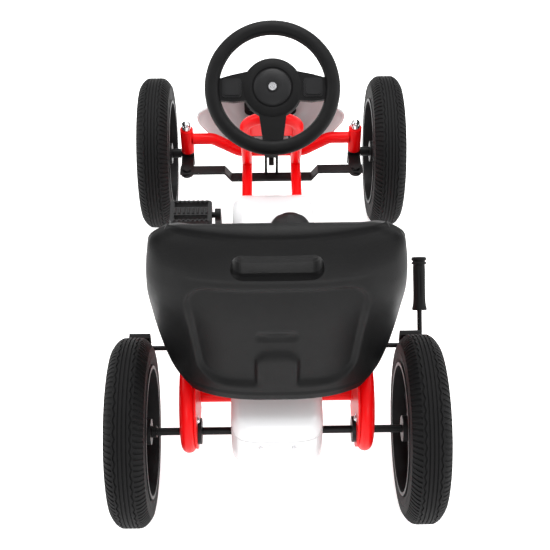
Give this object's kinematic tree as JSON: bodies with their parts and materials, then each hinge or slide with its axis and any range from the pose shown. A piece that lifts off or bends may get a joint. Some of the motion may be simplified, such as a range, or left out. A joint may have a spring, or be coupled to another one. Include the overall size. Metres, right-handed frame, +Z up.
{
  "type": "pedal go-kart",
  "caption": "Child's pedal go-kart with steered front wheels, chain drive in a closed case, bucket seat and hand brake.",
  "frame": {"origin": "on the ground, midway between the axles on the centre plane", "axes": "+X to the driver's right, +Y forward, +Z up"},
  "size_m": [0.502, 0.94, 0.5717],
  "materials": {
    "red_frame": "gloss",
    "black_metal": "satin",
    "steel": "polished",
    "chain_steel": "satin",
    "tyre": "matt",
    "black_plastic": "satin",
    "seat_plastic": "satin",
    "white_plastic": "gloss",
    "badge": "gloss"
  },
  "bodies": {
    "frame": {"front_beam": "red_frame", "cross_tube_front": "red_frame", "cross_tube_rear": "red_frame", "steering_hoop": "red_frame", "hoop_gusset": "red_frame", "seat_bar_front": "red_frame", "seat_bar_rear": "red_frame", "column_bracket": "black_metal", "fairing_bracket": "black_metal", "chain_case_upper": "white_plastic", "chain_case_lower": "white_plastic", "fairing": "white_plastic", "column_bush": "black_plastic", "fairing_grille": "black_plastic", "seat": "seat_plastic", "chain": "chain_steel", "side_loop_left": "red_frame", "main_rail_left": "red_frame", "rail_stay_left": "red_frame", "bearing_plate_left": "red_frame", "kingpin_sleeve_left": "red_frame", "brake_bracket_left": "red_frame", "crank_carrier_left": "red_frame", "axle_bearing_left": "black_plastic", "kingpin_bolt_left": "steel", "side_loop_right": "red_frame", "main_rail_right": "red_frame", "rail_stay_right": "red_frame", "bearing_plate_right": "red_frame", "kingpin_sleeve_right": "red_frame", "brake_bracket_right": "red_frame", "crank_carrier_right": "red_frame", "axle_bearing_right": "black_plastic", "kingpin_bolt_right": "steel"},
    "steering": {"steering_wheel": "black_plastic", "steering_pad": "black_plastic", "steering_shaft": "black_metal"},
    "tie_rod_body": {"tie_rod": "black_metal"},
    "rear_axle_body": {"rear_axle": "black_metal", "tyre_rear_right": "tyre", "rim_rear_right": "black_plastic"},
    "wheel_rear_left": {"tyre_rear_left": "tyre", "rim_rear_left": "black_plastic"},
    "crank_body": {"crank": "black_metal"},
    "brake": {"brake_linkage": "black_metal", "brake_grip": "black_plastic", "brake_pad_left": "black_plastic", "brake_pad_right": "black_plastic"},
    "selector": {"selector_knob": "black_plastic"},
    "horn_left": {"horn_button_left": "black_plastic"},
    "knuckle_left_body": {"knuckle_left": "black_metal"},
    "wheel_front_left": {"tyre_front_left": "tyre", "rim_front_left": "black_plastic"},
    "pedal_left_body": {"pedal_left": "black_plastic"},
    "horn_right": {"horn_button_right": "black_plastic"},
    "knuckle_right_body": {"knuckle_right": "black_metal"},
    "wheel_front_right": {"tyre_front_right": "tyre", "rim_front_right": "black_plastic"},
    "pedal_right_body": {"pedal_right": "black_plastic"}
  },
  "joints": [
    {"name": "steering_turn", "type": "hinge", "parent": "frame", "child": "steering", "pos_m": [0, 0.093, 0.48], "axis": [0, -0.6428, 0.766], "range_deg": [-18, 18]},
    {"name": "tie_rod_slide", "type": "slide", "parent": "frame", "child": "tie_rod_body", "axis": [1, 0, 0], "range_m": [-0.0195, 0.0195]},
    {"name": "knuckle_left_turn", "type": "hinge", "parent": "frame", "child": "knuckle_left_body", "pos_m": [-0.162, 0.325, 0.145], "axis": [0, 0, 1], "range_deg": [-20, 20]},
    {"name": "wheel_front_left_spin", "type": "hinge", "parent": "knuckle_left_body", "child": "wheel_front_left", "pos_m": [-0.218, 0.325, 0.145], "axis": [1, 0, 0], "continuous": true},
    {"name": "horn_left_press", "type": "slide", "parent": "steering", "child": "horn_left", "axis": [0, 0.6428, -0.766], "range_m": [0, 0.002], "stiffness_N_per_m": 400, "springref_m": -0.001},
    {"name": "knuckle_right_turn", "type": "hinge", "parent": "frame", "child": "knuckle_right_body", "pos_m": [0.162, 0.325, 0.145], "axis": [0, 0, 1], "range_deg": [-20, 20]},
    {"name": "wheel_front_right_spin", "type": "hinge", "parent": "knuckle_right_body", "child": "wheel_front_right", "pos_m": [0.218, 0.325, 0.145], "axis": [1, 0, 0], "continuous": true},
    {"name": "horn_right_press", "type": "slide", "parent": "steering", "child": "horn_right", "axis": [0, 0.6428, -0.766], "range_m": [0, 0.002], "stiffness_N_per_m": 400, "springref_m": -0.001},
    {"name": "rear_axle_spin", "type": "hinge", "parent": "frame", "child": "rear_axle_body", "pos_m": [0, -0.325, 0.145], "axis": [1, 0, 0], "continuous": true},
    {"name": "wheel_rear_left_spin", "type": "hinge", "parent": "rear_axle_body", "child": "wheel_rear_left", "pos_m": [-0.218, -0.325, 0.145], "axis": [1, 0, 0], "continuous": true},
    {"name": "crank_spin", "type": "hinge", "parent": "frame", "child": "crank_body", "pos_m": [0, 0.04978, 0.185], "axis": [1, 0, 0], "continuous": true},
    {"name": "pedal_left_spin", "type": "hinge", "parent": "crank_body", "child": "pedal_left_body", "pos_m": [-0.138, 0.02635, 0.26671], "axis": [1, 0, 0], "continuous": true},
    {"name": "pedal_right_spin", "type": "hinge", "parent": "crank_body", "child": "pedal_right_body", "pos_m": [0.138, 0.07321, 0.10329], "axis": [1, 0, 0], "continuous": true},
    {"name": "brake_pull", "type": "hinge", "parent": "frame", "child": "brake", "pos_m": [0, -0.165, 0.15], "axis": [1, 0, 0], "range_deg": [0, 14]},
    {"name": "selector_turn", "type": "hinge", "parent": "frame", "child": "selector", "pos_m": [0.028, 0, 0.26], "axis": [0, 0, 1], "range_deg": [0, 60]}
  ],
  "couplings": [
    {"joint": "tie_rod_slide", "follows": "steering_turn", "m_per_rad": 0.0595},
    {"joint": "knuckle_left_turn", "follows": "steering_turn", "ratio": 1.0909},
    {"joint": "knuckle_right_turn", "follows": "steering_turn", "ratio": 1.0909},
    {"joint": "crank_spin", "follows": "rear_axle_spin", "ratio": 0.51852}
  ]
}
